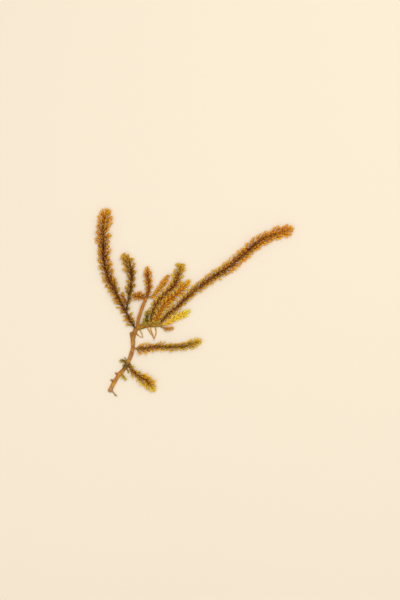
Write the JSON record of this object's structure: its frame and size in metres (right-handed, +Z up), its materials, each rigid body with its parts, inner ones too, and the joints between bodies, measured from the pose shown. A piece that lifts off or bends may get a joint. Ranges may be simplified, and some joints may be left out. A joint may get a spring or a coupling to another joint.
{
  "type": "dried seaweed",
  "caption": "Pressed reef seaweed lying flat: a creeping runner with rootlets below and brush-like fronds of small club-ended branchlets above.",
  "frame": {"origin": "on the surface it lies on, under the fork where the runner turns and the first fronds rise", "axes": "+Z up from the surface, +X along the turned end of the runner towards the longest frond's tip side, +Y towards the tall fronds"},
  "size_m": [0.1541, 0.1465, 0.006],
  "materials": {
    "stolon": "dry, wrinkled, half dull",
    "rootlets": "dry, thread-like, dull",
    "frond_golden": "dry, amber, slightly translucent, half dull",
    "frond_olive": "dry, olive brown, slightly translucent, half dull",
    "frond_orange": "dry, orange brown, slightly translucent, half dull",
    "frond_yellow": "dry, yellow, slightly translucent, half dull"
  },
  "bodies": {
    "root": {"stolon": "stolon", "rootlets_middle": "rootlets", "rootlets_left": "rootlets", "rootlets_end": "rootlets", "frond_left_long": "frond_golden", "frond_left_inner": "frond_olive", "sprout_left": "frond_orange", "frond_stalked": "frond_golden", "frond_curled": "frond_orange", "frond_folded": "frond_orange", "frond_young": "frond_olive", "frond_knobbed": "frond_olive", "frond_golden": "frond_golden", "frond_right_long": "frond_golden", "frond_yellow": "frond_yellow", "bud_end": "frond_orange", "frond_low_right": "frond_olive", "frond_lowest": "frond_golden", "sprig_fork": "frond_olive", "sprig_low": "frond_yellow"}
  },
  "joints": []
}
